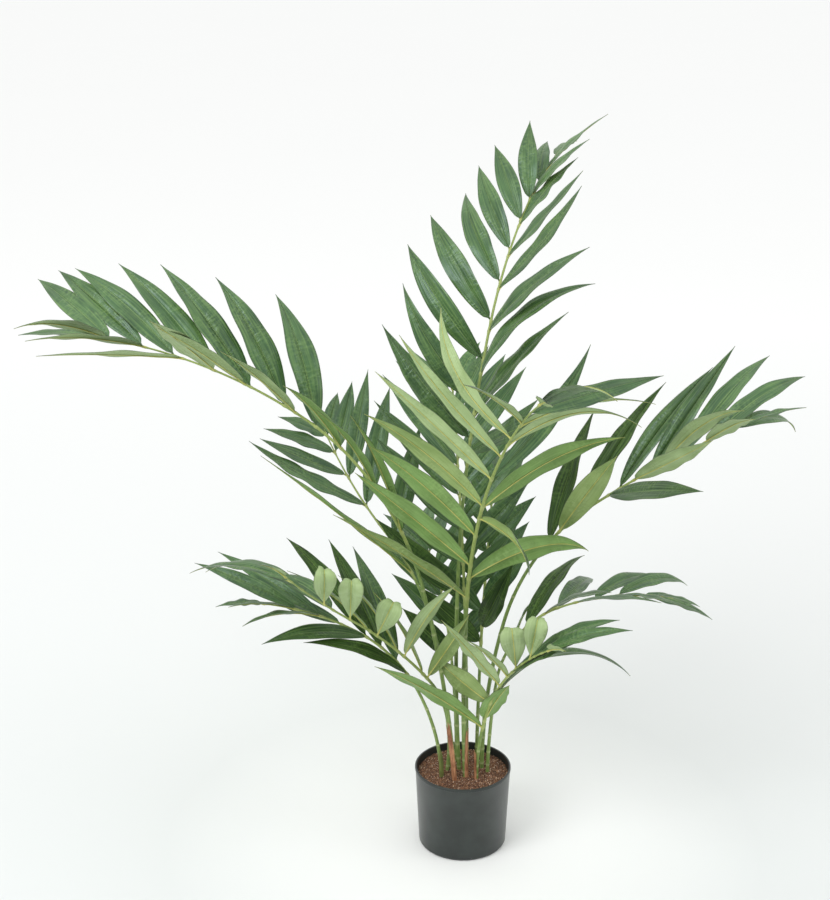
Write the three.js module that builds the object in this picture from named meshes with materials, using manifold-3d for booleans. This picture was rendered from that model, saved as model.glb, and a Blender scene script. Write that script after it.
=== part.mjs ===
// Artificial parlor palm in a plain pot, about 1.2 m tall. Twelve wired plastic stems stand in a
// pot of glued granulate, and each carries one feather-shaped frond of moulded fabric leaflets.
// Millimetres, +Z up. The origin is the centre of the pot's flat underside.

import * as THREE from 'three';
import { mergeVertices } from 'three/addons/utils/BufferGeometryUtils.js';
import Module from 'manifold-3d';

const wasm = await Module();
wasm.setup();

// Pot and its fill
const POT_HEIGHT = 140;
const POT_RIM_RADIUS = 80;
const POT_BASE_RADIUS = 73;
const POT_WALL = 2.4;
const POT_FLOOR = 4;
const POT_EDGE_RADIUS = 5;
const POT_EDGE_STEPS = 4;
const POT_SIDES = 36;
const LIP_HEIGHT = 5;
const LIP_OVERHANG = 0.8;
const SOIL_LEVEL = 130;
// The fill's top as shares: of the inner radius, and of the crown below the fill's level
const SOIL_CROWN = 2;
const SOIL_TOP = [[1, 1], [0.8, 0.3], [0.4, 0], [0, 0]];
const CLEARANCE = 0.3;

// Stems and ribs
const PLANTED_DEPTH = 28;
const STEM_SIDES = 7;
const STEM_STEPS = 10;
const RIB_SIDES = 5;
const RIB_STEPS = 12;
const RIB_TIP_RADIUS = 1.1;
const RIB_TAPER_POWER = 1.3;
const CURVE_STEPS = 96;
// Shares of the curve: how far the rib starts below its first leaflets, and where the end leaflet sits
const RIB_LEAD = 0.02;
const END_LEAF_PLACE = 0.985;

// Leaflets: a folded blade with a thick midrib, pointed at its tip
const LEAF_STEPS = 25;
const LEAF_RING_STEPS = [0, 4, 10, 17];
const LEAF_WIDEST = 0.4;
const LEAF_RISE_POWER = 0.8;
const LEAF_FALL_POWER = 1.15;
const LEAF_BEND_POWER = 1.3;
const LEAF_FOOT_WIDTH = 0.16;
const LEAF_NARROWING = 0.25;
const LEAF_FOLD = 16;
const LEAF_THICKNESS_RATIO = 0.011;
const LEAF_ROOT_RISE = 0.6;
const END_LEAF_CURL = 22;
const END_LEAF_WIDTH_SHARE = 0.6;
const UNTWISTED = [0, 0];

// Husks: dry sheath strips that hug the foot of a stem
const HUSK_THICKNESS = 1;
const HUSK_GAP = 0.5;
const HUSK_ARC = 150;
const HUSK_ARC_STEPS = 3;
// Shares of a husk's height where its section is set; from the last one it runs to its point
const HUSK_RING_SHARES = [0, 0.5];
const HUSK_PLANTED_DEPTH = 8;
const HUSK_FLARE = 3;
const HUSK_NARROWING = 0.6;

// Vertices closer than this are one
const MERGE_DISTANCE = 1e-4;

// Colours
const DARK_LEAF = 0x3f6b3c;
const STEM_GREEN = 0x6f9148;
const POT_GREY = 0x3c403f;
const SOIL_BROWN = 0x5e4238;
const HUSK_BROWN = 0xb07a52;

// Each frond: foot on the soil (x, y); heading (0 to the right, 90 to the back) and lean from upright
// along its whole curve; length of that curve; roll of the blade; stem, the radius at its foot; width of
// its widest leaflets; tip, the length of its end leaflet. Each side has a count of leaflets and, from
// the blade's foot to its tip, their place as a share of the curve, length, spread from the rib, lift
// above the blade's plane, curl, and twist of the upper face towards the tip. The bent ones are set by
// themselves. Left and right are as seen along the rib from its upper face. Degrees and millimetres.
const FRONDS = {
  top: {
    foot: [-6, 6], heading: [54, 59, 68], lean: [-6, 4, 25, 80], length: 1145, roll: [-9, 8],
    stem: 3.6, width: 43, tip: 110,
    left: {
      count: 9, place: [0.51, 0.62, 0.73, 0.83, 0.91], length: [230, 235, 210, 155, 115],
      spread: [46, 43, 40, 30, 12], lift: [22, 32, 14, 24, 18], curl: [20, 55, 50, 25, 38],
    },
    right: {
      count: 9, place: [0.49, 0.6, 0.72, 0.82, 0.94], length: [205, 245, 220, 165, 145],
      spread: [55, 34, 45, 22, 30], lift: [6, 12, 16, 4, 20], curl: [15, 45, -15, 14, 16],
      twist: [35, 40, 30, 25, 25],
    },
    bent: {
      left1: { spread: 34, lift: 58, curl: 78, length: 235 },
      left4: { spread: 40, lift: 14, curl: 50, length: 205 },
      left7: { spread: 14, lift: 30, curl: 20, length: 146 },
      right1: { spread: 31, lift: 3, curl: 13 },
      right2: { spread: 26, lift: 19, curl: 70 },
      right3: { spread: 44, lift: 26, curl: 30, length: 228 },
      right5: { spread: 50, lift: 26, curl: -5 },
      right6: { spread: 14, lift: 0 },
      right7: { spread: 24, length: 138 },
    },
  },
  left_long: {
    foot: [-14, -28], heading: [176, 162, 192], lean: [4, 14, 57, 77], length: 1040, roll: [3, 1],
    stem: 3.6, width: 50, tip: 130,
    left: {
      count: 9, place: [0.43, 0.59, 0.765, 0.865, 0.98], length: [240, 240, 240, 238, 202],
      spread: [30, 44, 42, 25, 32], lift: [23, 28, 22, -6, 19], curl: [17, 19, 8, 7, 33],
      twist: [50, 35],
    },
    right: {
      count: 7, place: [0.64, 0.755, 0.878, 0.975], length: [230, 245, 230, 218],
      spread: [6, 14, 24, 50], lift: [46, 29, 24, 13], curl: [55, 26, 34, 23], twist: [45, 38],
    },
    bent: {
      left0: { spread: 14, lift: 17 },
      left5: { spread: 53, lift: 26, curl: 8 },
    },
  },
  front: {
    foot: [4, -19], heading: [299, 280], lean: [-6, 5, 39, 63], length: 910, roll: [8, 40],
    stem: 4.2, width: 44, tip: 60,
    left: {
      count: 8, place: [0.4, 0.54, 0.565, 0.65, 0.765, 0.85, 0.92, 0.975],
      length: [245, 260, 245, 205], spread: [55, 46, 46, 18], lift: [12, 40, 42, 28],
      curl: [78, 45, 60, 58], twist: [0, 10],
    },
    right: {
      count: 8, place: [0.36, 0.52, 0.7, 0.865], length: [270, 237, 240, 205],
      spread: [51, 54, 78, 60], lift: [-3, 17, 18, 10], curl: [0, 38, -16, 15],
    },
    bent: {
      left1: { spread: 66, lift: -34, curl: 47, length: 163 },
      left3: { spread: 36, curl: 30, twist: 180 },
      left4: { spread: 28, lift: 29, curl: 63, twist: 30 },
      left5: { spread: 31, lift: 26, curl: 35, length: 232, twist: 28 },
      left6: { spread: 31, lift: 25, curl: -13, length: 231, twist: 170 },
      left7: { spread: 8, lift: 22, curl: -49, length: 199, twist: 210 },
      right0: { twist: 40, curl: 6 },
      right6: { spread: 97, lift: 19, curl: -49, length: 239 },
      right7: { spread: 32, lift: -11 },
    },
  },
  right: {
    foot: [32, 13], heading: [17, -17, -17], lean: [0, 14, 51, 59], length: 810, roll: [3, -6],
    stem: 3.6, width: 41, tip: 110,
    left: {
      count: 7, place: [0.54, 0.725, 0.875, 0.98], length: [235, 246, 227, 155],
      spread: [33, 24, 34, 41], lift: [24, 21, 20, -12], curl: [22, 28, 42, 72], twist: [40, 40],
    },
    right: {
      count: 5, place: [0.57, 0.7, 0.76, 0.825, 0.92], length: [241, 241, 231, 218, 160],
      spread: [21, 38, 36, 12, 32], lift: [10, -5, 7, 22, 16], curl: [17, 3, 0, 43, 25],
      twist: [80, -10, 70, 65, 60],
    },
    bent: {
      left1: { spread: 25, curl: 30, length: 253 },
      left3: { curl: 14 },
      left5: { spread: 22, lift: 13, length: 200 },
    },
  },
  left_low_front: {
    foot: [-26, 2], heading: [240, 201, 232], lean: [-13, 37, 52, 45], length: 565, roll: [-16, -9],
    stem: 3, width: 42, tip: 70,
    left: {
      count: 5, place: [0.35, 0.58, 0.8], length: [165, 178, 152, 150, 152],
      spread: [50, 45, 55, 42, 30], lift: [38, 48, 30, 18, 14], curl: [17, 22, 22, 12, 27],
      twist: [0, 45, 0, 0, 0],
    },
    right: {
      count: 6, place: [0.37, 0.49, 0.61, 0.76, 0.9, 0.955], length: [160, 165, 165, 145, 204, 199],
      spread: [48, 45, 42, 60, 71, 74], lift: [36, 28, 20, 22, 16, 8],
      curl: [21, 25, 28, 52, 54, 44], twist: [0, 0, 0, 50, 50, 50],
    },
  },
  left_low: {
    foot: [-36, -16], heading: [169, 196], lean: [2, 26, 59, 77], length: 480, roll: [4, 3],
    stem: 3, width: 37, tip: 80,
    left: {
      count: 4, place: [0.41, 0.61, 0.79, 0.88], length: [205, 192, 166, 144],
      spread: [24, 26, 27, 25], lift: [-3, -5, 5, 12], curl: [50, 40, 29, 20],
      twist: [4, -5, 24, 18],
    },
    right: {
      count: 6, place: [0.47, 0.545, 0.61, 0.71, 0.78, 0.87],
      length: [238, 232, 231, 228, 215, 187], spread: [50, 48, 28, 43, 35, 24],
      lift: [8, 9, 16, -17, 2, 7], curl: [15, 17, 44, 5, 12, 21], twist: [45, 35],
    },
  },
  right_low_front: {
    foot: [22, -24], heading: [322, 299], lean: [0, 17, 43, 58], length: 370, roll: [16, 35],
    stem: 3, width: 42, tip: 60,
    left: {
      count: 6, place: [0.31, 0.42, 0.66, 0.76, 0.87, 0.93], length: [100, 268, 178, 155, 150, 153],
      spread: [8, 28, 9, 22, 22, 20], lift: [-6, 19, 1, 20, 30, 22],
      curl: [21, 105, 17, 22, 32, 40], twist: [0, 50, 60, 65, 70, 70],
    },
    right: {
      count: 6, place: [0.27, 0.415, 0.54, 0.62, 0.7, 0.83], length: [264, 115, 167, 148, 160, 150],
      spread: [52, 72, 54, 48, 28, 25], lift: [10, 34, 17, 4, 5, 10],
      curl: [18, -10, 0, 14, 22, 20], twist: [42, 0, 28, 38, 0, 0],
    },
  },
  right_low: {
    foot: [41, -3], heading: [15, 15, -24], lean: [1, 8, 69, 85], length: 500, roll: [13, 15],
    stem: 3, width: 35, tip: 80,
    left: {
      count: 5, place: [0.55, 0.67, 0.79, 0.87, 0.955], length: [215, 173, 155, 160, 144],
      spread: [34, 54, 35, 37, 43], lift: [11, 13, 19, 19, -13], curl: [49, 46, 56, 62, 22],
      twist: [35, 35],
    },
    right: {
      count: 4, place: [0.5, 0.62, 0.73, 0.88], length: [172, 165, 157, 124],
      spread: [52, 42, 29, 30], lift: [25, 12, 2, 1], curl: [20, 25, 25, 18],
    },
  },
  left_back: {
    foot: [-19, 15], heading: [141, 130], lean: [4, 13, 58, 39], length: 640, roll: [-5, 11],
    stem: 3.4, width: 37, tip: 70,
    left: {
      count: 5, place: [0.54, 0.76, 0.86, 0.93, 0.98], length: [318, 227, 170, 133, 97],
      spread: [30, 44, 52, 54, 53], lift: [2, 6, 7, 16, 17], curl: [4, -12, -14, 21, 10],
      twist: [70, 15, 15, 15, 15],
    },
    right: {
      count: 5, place: [0.63, 0.76, 0.85, 0.93, 0.98], length: [222, 215, 200, 137, 94],
      spread: [38, 35, 34, 39, 37], lift: [25, 29, 24, 13, 1], curl: [16, 18, 23, 17, 24],
      twist: [15, 15],
    },
  },
  back: {
    foot: [7, 22], heading: [100, 92], lean: [2, 10, 38, 65], length: 700, roll: [0, 0],
    stem: 3.4, width: 39, tip: 90,
    left: {
      count: 8, place: [0.42, 0.7, 0.955], length: [210, 215, 120], spread: [48, 42, 25],
      lift: [22, 20, 15], curl: [20, 24],
    },
    right: {
      count: 8, place: [0.44, 0.72, 0.955], length: [140, 215, 120], spread: [42, 42, 25],
      lift: [22, 20, 15], curl: [20, 24],
    },
  },
  right_back: {
    foot: [24, 33], heading: [78, 84], lean: [2, 14, 40, 66], length: 520, roll: [0, 0],
    stem: 3.2, width: 36, tip: 80,
    left: {
      count: 7, place: [0.4, 0.69, 0.955], length: [150, 155, 100], spread: [50, 42, 25],
      lift: [22, 20, 15], curl: [20, 24],
    },
    right: {
      count: 7, place: [0.45, 0.71, 0.955], length: [105, 120, 95], spread: [42, 38, 25],
      lift: [28, 20, 15], curl: [20, 24],
    },
    bent: {
      right0: { spread: 30, lift: 60, curl: 34, length: 185 },
    },
  },
  low_back: {
    foot: [-10, 36], heading: [98, 106], lean: [2, 26, 58, 82], length: 450, roll: [0, 0],
    stem: 3, width: 35, tip: 80,
    left: {
      count: 6, place: [0.4, 0.69, 0.955], length: [120, 145, 100], spread: [44, 42, 25],
      lift: [22, 20, 15], curl: [20, 24],
    },
    right: {
      count: 6, place: [0.43, 0.71, 0.955], length: [145, 150, 100], spread: [50, 42, 25],
      lift: [22, 20, 15], curl: [20, 24],
    },
  },
};

// Each husk: the stem it hugs, the side it lies on (same compass as heading) and its height
const HUSKS = {
  husk_1: { stem: 'left_long', side: 250, height: 112 },
  husk_2: { stem: 'front', side: 330, height: 92 },
  husk_3: { stem: 'right_low_front', side: 200, height: 55 },
  husk_4: { stem: 'left_low', side: 290, height: 52 },
  husk_5: { stem: 'back', side: 115, height: 68 },
};

const radians = THREE.MathUtils.degToRad;

// Value of a profile, given as evenly spaced samples from foot to tip, at share u
function along(samples, u) {
  const place = THREE.MathUtils.clamp(u, 0, 1) * (samples.length - 1);
  const low = Math.min(Math.floor(place), samples.length - 2);
  return samples[low] + (samples[low + 1] - samples[low]) * (place - low);
}

// Unit vector that leans from upright towards a compass heading
function leaning(lean, heading) {
  const flat = Math.sin(lean);
  return new THREE.Vector3(flat * Math.cos(heading), flat * Math.sin(heading), Math.cos(lean));
}

// The curve of stem and rib, with the blade's upper normal and its left at each step
function frondCurve(frond) {
  const step = frond.length / CURVE_STEPS;
  const place = new THREE.Vector3(frond.foot[0], frond.foot[1], SOIL_LEVEL);
  const curve = [];
  for (let i = 0; i <= CURVE_STEPS; i += 1) {
    const s = i / CURVE_STEPS;
    const lean = radians(along(frond.lean, s));
    const heading = radians(along(frond.heading, s));
    const forward = leaning(lean, heading);
    const flatNormal = leaning(lean - Math.PI / 2, heading);
    const flatLeft = new THREE.Vector3().crossVectors(flatNormal, forward);
    const roll = radians(along(frond.roll, s));
    const normal = flatNormal.multiplyScalar(Math.cos(roll)).addScaledVector(flatLeft, Math.sin(roll));
    if (i > 0) {
      const stride = new THREE.Vector3().addVectors(curve[i - 1].forward, forward).normalize();
      place.addScaledVector(stride, step);
    }
    curve.push({ place: place.clone(), forward, normal });
  }
  return curve;
}

// Place and directions on a curve at share s of its length; below 0 the curve runs straight on
function curvePoint(frond, curve, s) {
  const position = THREE.MathUtils.clamp(s, 0, 1) * CURVE_STEPS;
  const low = Math.min(Math.floor(position), CURVE_STEPS - 1);
  const mix = position - low;
  const place = curve[low].place.clone().lerp(curve[low + 1].place, mix);
  const forward = curve[low].forward.clone().lerp(curve[low + 1].forward, mix).normalize();
  const normal = curve[low].normal.clone().lerp(curve[low + 1].normal, mix).normalize();
  const left = new THREE.Vector3().crossVectors(normal, forward);
  if (s < 0) {
    place.addScaledVector(forward, s * frond.length);
  }
  return { place, forward, normal, left };
}

// Radius of stem and rib at share s of the curve
function stemRadius(frond, s) {
  return THREE.MathUtils.lerp(frond.stem, RIB_TIP_RADIUS, Math.max(0, s) ** RIB_TAPER_POWER);
}

// Triangles that close a ring of points, taken in turn from both ends of its list so that they also
// close a ring that bends round like a husk's
function capTriangles(count) {
  const triangles = [];
  let low = 0;
  let high = count - 1;
  while (high - low > 1) {
    triangles.push([low, low + 1, high]);
    low += 1;
    if (high - low > 1) {
      triangles.push([low, high - 1, high]);
      high -= 1;
    }
  }
  return triangles;
}

// A closed solid through rings of points that run anticlockwise seen against the direction of travel.
// With a tip point the last ring closes on it, and otherwise both ends are capped.
function loft(rings, tip) {
  const count = rings[0].length;
  const vertices = rings.flat();
  const faces = [];
  for (let ring = 0; ring < rings.length - 1; ring += 1) {
    for (let i = 0; i < count; i += 1) {
      const next = (i + 1) % count;
      const a = ring * count + i;
      const b = ring * count + next;
      faces.push(a, b, b + count, a, b + count, a + count);
    }
  }
  const last = (rings.length - 1) * count;
  for (const [a, b, c] of capTriangles(count)) {
    faces.push(a, c, b);
    if (!tip) {
      faces.push(last + a, last + b, last + c);
    }
  }
  if (tip) {
    for (let i = 0; i < count; i += 1) {
      faces.push(last + i, last + (i + 1) % count, vertices.length);
    }
    vertices.push(tip);
  }
  const geometry = new THREE.BufferGeometry();
  const numbers = vertices.flatMap((vertex) => vertex.toArray());
  geometry.setAttribute('position', new THREE.Float32BufferAttribute(numbers, 3));
  geometry.setIndex(faces);
  return geometry;
}

function toSolid(geometry) {
  const bare = geometry.clone();
  bare.deleteAttribute('normal');
  bare.deleteAttribute('uv');
  const merged = mergeVertices(bare, MERGE_DISTANCE);
  return new wasm.Manifold(new wasm.Mesh({
    numProp: 3,
    vertProperties: new Float32Array(merged.attributes.position.array),
    triVerts: new Uint32Array(merged.index.array),
  }));
}

function toGeometry(solid) {
  const mesh = solid.getMesh();
  const geometry = new THREE.BufferGeometry();
  geometry.setAttribute('position', new THREE.Float32BufferAttribute(mesh.vertProperties, 3));
  geometry.setIndex(Array.from(mesh.triVerts));
  return geometry;
}

// Round tube along a frond's curve between two shares of it, grown by extra in radius
function tube(frond, curve, from, to, steps, sides, extra = 0) {
  const rings = [];
  for (let i = 0; i <= steps; i += 1) {
    const s = from + (to - from) * (i / steps);
    const { place, normal, left } = curvePoint(frond, curve, s);
    const radius = stemRadius(frond, s) + extra;
    const ring = [];
    for (let k = 0; k < sides; k += 1) {
      const angle = (k / sides) * 2 * Math.PI;
      ring.push(place.clone()
        .addScaledVector(left, radius * Math.cos(angle))
        .addScaledVector(normal, radius * Math.sin(angle)));
    }
    rings.push(ring);
  }
  return loft(rings);
}

// Half width of a leaflet at share w of its length
function leafHalfWidth(width, w) {
  const before = Math.min(w / LEAF_WIDEST, 1);
  const after = Math.max((w - LEAF_WIDEST) / (1 - LEAF_WIDEST), 0);
  const rising = Math.sin((Math.PI / 2) * before) ** LEAF_RISE_POWER;
  const falling = Math.cos((Math.PI / 2) * after) ** LEAF_FALL_POWER;
  return (width / 2) * Math.max(rising * falling, w < LEAF_WIDEST ? LEAF_FOOT_WIDTH : 0);
}

// One leaflet, from a root inside the rib, turned from the rib by spread, lift and curl
function leaflet(root, side, shape) {
  const spread = radians(shape.spread);
  const lift = radians(shape.lift);
  const outward = root.forward.clone().multiplyScalar(Math.cos(spread))
    .addScaledVector(root.left, side * Math.sin(spread));
  const away = outward.clone().multiplyScalar(Math.cos(lift)).addScaledVector(root.normal, Math.sin(lift));
  const face = root.normal.clone().multiplyScalar(Math.cos(lift)).addScaledVector(outward, -Math.sin(lift));
  const across = new THREE.Vector3().crossVectors(away, face);
  const twist = side * radians(shape.twist);
  face.multiplyScalar(Math.cos(twist)).addScaledVector(across, Math.sin(twist));
  across.crossVectors(away, face);
  const fold = radians(LEAF_FOLD);
  const thickness = shape.length * LEAF_THICKNESS_RATIO;
  const place = root.place.clone().addScaledVector(root.normal, LEAF_ROOT_RISE);
  const rings = [];
  let before = away;
  for (let i = 0; i <= LEAF_STEPS; i += 1) {
    const w = i / LEAF_STEPS;
    const bend = radians(shape.curl) * w ** LEAF_BEND_POWER;
    const forward = away.clone().multiplyScalar(Math.cos(bend)).addScaledVector(face, -Math.sin(bend));
    const upper = face.clone().multiplyScalar(Math.cos(bend)).addScaledVector(away, Math.sin(bend));
    if (i > 0) {
      place.addScaledVector(before.clone().add(forward).normalize(), shape.length / LEAF_STEPS);
    }
    before = forward;
    if (LEAF_RING_STEPS.includes(i)) {
      const half = leafHalfWidth(shape.width, w);
      const rise = upper.clone().multiplyScalar(half * Math.sin(fold));
      const reach = across.clone().multiplyScalar(half * Math.cos(fold));
      rings.push([
        place.clone().add(rise).sub(reach),
        place.clone().addScaledVector(upper, thickness / 2),
        place.clone().add(rise).add(reach),
        place.clone().addScaledVector(upper, -thickness / 2),
      ]);
    }
  }
  return loft(rings, place);
}

// All leaflets of a frond as closed geometries
function leaflets(frond, curve) {
  const made = [];
  for (const [name, side] of [['left', 1], ['right', -1]]) {
    const profile = frond[name];
    for (let i = 0; i < profile.count; i += 1) {
      const u = i / (profile.count - 1);
      const shape = {
        spread: along(profile.spread, u),
        lift: along(profile.lift, u),
        curl: along(profile.curl, u),
        twist: along(profile.twist ?? UNTWISTED, u),
        length: along(profile.length, u),
        width: frond.width * (1 - LEAF_NARROWING * u),
        ...frond.bent?.[name + i],
      };
      made.push(leaflet(curvePoint(frond, curve, along(profile.place, u)), side, shape));
    }
  }
  const width = frond.width * END_LEAF_WIDTH_SHARE;
  const endShape = { spread: 0, lift: 0, curl: END_LEAF_CURL, twist: 0, length: frond.tip, width };
  made.push(leaflet(curvePoint(frond, curve, END_LEAF_PLACE), 1, endShape));
  return made;
}

// Share of the curve where a frond's rib starts, a little below its first leaflet
function ribStart(frond) {
  return Math.min(frond.left.place[0], frond.right.place[0]) - RIB_LEAD;
}

// The blade of one frond: rib and leaflets fused into one solid
function frondBlade(frond, curve) {
  const rib = tube(frond, curve, ribStart(frond), 1, RIB_STEPS, RIB_SIDES);
  const solids = [rib, ...leaflets(frond, curve)].map(toSolid);
  return solids.reduce((whole, leaf) => whole.add(leaf));
}

// The bare stem below the blade, planted in the fill
function frondStem(frond, curve, extra = 0) {
  const from = -(PLANTED_DEPTH + extra) / frond.length;
  const to = ribStart(frond) - CLEARANCE / frond.length;
  return tube(frond, curve, from, to, STEM_STEPS, STEM_SIDES, extra);
}

// Level vector of a given length towards an angle
function flatVector(angle, length) {
  return new THREE.Vector3(length * Math.cos(angle), length * Math.sin(angle), 0);
}

// A strip round part of a stem, whose section shrinks and stands off towards its pointed top
function husk(frond, curve, spec, extra = 0) {
  const inner = stemRadius(frond, 0) + HUSK_GAP;
  const side = radians(spec.side);
  const arc = radians(HUSK_ARC) + 2 * extra / inner;
  const rings = HUSK_RING_SHARES.map((share) => {
    const run = THREE.MathUtils.lerp(-HUSK_PLANTED_DEPTH - extra, spec.height, share);
    const size = 1 - HUSK_NARROWING * share;
    const centre = curvePoint(frond, curve, run / frond.length).place;
    centre.add(flatVector(side, inner * (1 - size) + HUSK_FLARE * share ** 2));
    const ring = [];
    for (const [radius, turn] of [[inner + HUSK_THICKNESS + extra, 1], [inner - extra, -1]]) {
      for (let k = 0; k <= HUSK_ARC_STEPS; k += 1) {
        const angle = side + turn * arc * (k / HUSK_ARC_STEPS - 0.5);
        ring.push(centre.clone().add(flatVector(angle, radius * size)));
      }
    }
    return ring;
  });
  const tip = curvePoint(frond, curve, spec.height / frond.length).place;
  return loft(rings, tip.add(flatVector(side, inner + HUSK_FLARE)));
}

// Half section of the pot, from the axis under the floor round the wall to the axis above the floor
function potGeometry() {
  const profile = [new THREE.Vector2(0, 0)];
  for (let i = 0; i <= POT_EDGE_STEPS; i += 1) {
    const angle = (Math.PI / 2) * (i / POT_EDGE_STEPS);
    profile.push(new THREE.Vector2(
      POT_BASE_RADIUS - POT_EDGE_RADIUS * (1 - Math.sin(angle)),
      POT_EDGE_RADIUS * (1 - Math.cos(angle)),
    ));
  }
  profile.push(new THREE.Vector2(POT_RIM_RADIUS - LIP_OVERHANG, POT_HEIGHT - LIP_HEIGHT));
  profile.push(new THREE.Vector2(POT_RIM_RADIUS, POT_HEIGHT - LIP_HEIGHT));
  profile.push(new THREE.Vector2(POT_RIM_RADIUS, POT_HEIGHT));
  profile.push(new THREE.Vector2(innerRadius(POT_HEIGHT), POT_HEIGHT));
  profile.push(new THREE.Vector2(innerRadius(POT_FLOOR), POT_FLOOR));
  profile.push(new THREE.Vector2(0, POT_FLOOR));
  return latheUp(profile);
}

// Inner radius of the pot's wall at height z
function innerRadius(z) {
  return THREE.MathUtils.lerp(POT_BASE_RADIUS, POT_RIM_RADIUS - LIP_OVERHANG, z / POT_HEIGHT) - POT_WALL;
}

// A profile of radius and height turned round the Z axis
function latheUp(profile) {
  return new THREE.LatheGeometry(profile, POT_SIDES).rotateX(Math.PI / 2);
}

// The fill: a low mound that stops short of the wall, before its sockets are cut
function soilGeometry() {
  const bottom = POT_FLOOR + CLEARANCE;
  const edgeRadius = innerRadius(SOIL_LEVEL - SOIL_CROWN) - CLEARANCE;
  return latheUp([
    new THREE.Vector2(0, bottom),
    new THREE.Vector2(innerRadius(bottom) - CLEARANCE, bottom),
    ...SOIL_TOP.map(([out, down]) => new THREE.Vector2(edgeRadius * out, SOIL_LEVEL - SOIL_CROWN * down)),
  ]);
}

const materials = {
  pot: new THREE.MeshStandardMaterial({ color: POT_GREY, roughness: 0.45, metalness: 0 }),
  soil: new THREE.MeshStandardMaterial({ color: SOIL_BROWN, roughness: 0.95, metalness: 0 }),
  stem: new THREE.MeshStandardMaterial({ color: STEM_GREEN, roughness: 0.5, metalness: 0 }),
  frond: new THREE.MeshStandardMaterial({ color: DARK_LEAF, roughness: 0.55, metalness: 0 }),
  husk: new THREE.MeshStandardMaterial({ color: HUSK_BROWN, roughness: 0.8, metalness: 0 }),
};

const palm = new THREE.Group();

function addPart(name, geometry, material) {
  const mesh = new THREE.Mesh(geometry, material);
  mesh.name = name;
  palm.add(mesh);
}

let soil = toSolid(soilGeometry());

for (const [name, frond] of Object.entries(FRONDS)) {
  const curve = frondCurve(frond);
  addPart(`stem_${name}`, toGeometry(toSolid(frondStem(frond, curve))), materials.stem);
  addPart(`frond_${name}`, toGeometry(frondBlade(frond, curve)), materials.frond);
  soil = soil.subtract(toSolid(frondStem(frond, curve, CLEARANCE)));
}

for (const [name, spec] of Object.entries(HUSKS)) {
  const frond = FRONDS[spec.stem];
  const curve = frondCurve(frond);
  addPart(name, toGeometry(toSolid(husk(frond, curve, spec))), materials.husk);
  soil = soil.subtract(toSolid(husk(frond, curve, spec, CLEARANCE)));
}

// Loose scraps between a husk's socket and its stem's are dropped
const largest = soil.decompose().reduce((a, b) => (a.volume() > b.volume() ? a : b));
addPart('soil', toGeometry(largest), materials.soil);
addPart('pot', potGeometry(), materials.pot);

export default palm;
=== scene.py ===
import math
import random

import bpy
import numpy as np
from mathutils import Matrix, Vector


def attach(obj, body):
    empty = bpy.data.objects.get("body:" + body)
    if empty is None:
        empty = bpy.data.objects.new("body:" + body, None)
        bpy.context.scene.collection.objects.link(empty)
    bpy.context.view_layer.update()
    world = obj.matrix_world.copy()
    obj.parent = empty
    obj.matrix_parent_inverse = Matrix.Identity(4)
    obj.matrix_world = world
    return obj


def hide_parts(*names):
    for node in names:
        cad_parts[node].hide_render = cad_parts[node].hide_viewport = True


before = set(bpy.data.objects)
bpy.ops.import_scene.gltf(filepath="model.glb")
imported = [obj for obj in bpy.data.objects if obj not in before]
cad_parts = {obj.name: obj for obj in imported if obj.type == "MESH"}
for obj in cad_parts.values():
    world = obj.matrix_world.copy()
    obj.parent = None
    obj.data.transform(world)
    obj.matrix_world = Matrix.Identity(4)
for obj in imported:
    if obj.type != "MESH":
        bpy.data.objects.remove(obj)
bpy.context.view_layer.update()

# Artificial parlor palm in a plain pot: moulded stems and ribs, printed fabric leaflets with a moulded
# midrib under each, dry sheath strips, and a pot filled with glued granulate. The plant grows here by
# the same rule and from the same sizes as its solids, carried to thin leaflets and fine relief.
# Sizes are millimetres and degrees unless a name says otherwise, and MM turns them to metres.

MM = 0.001

# Pot and its fill
POT_HEIGHT = 140
POT_RIM_RADIUS = 80
POT_BASE_RADIUS = 73
POT_WALL = 2.4
POT_FLOOR = 4
POT_EDGE_RADIUS = 5
LIP_HEIGHT = 5
LIP_OVERHANG = 0.8
SOIL_LEVEL = 130
SOIL_CROWN = 2
CLEARANCE = 0.3

# Stems and ribs
PLANTED_DEPTH = 28
RIB_TIP_RADIUS = 1.1
RIB_TAPER_POWER = 1.3
CURVE_STEPS = 96
RIB_LEAD = 0.02
END_LEAF_PLACE = 0.985

# Leaflets
LEAF_BEND_POWER = 1.3
LEAF_NARROWING = 0.25
LEAF_ROOT_RISE = 0.6
END_LEAF_CURL = 22
END_LEAF_WIDTH_SHARE = 0.6
UNTWISTED = (0, 0)

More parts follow.
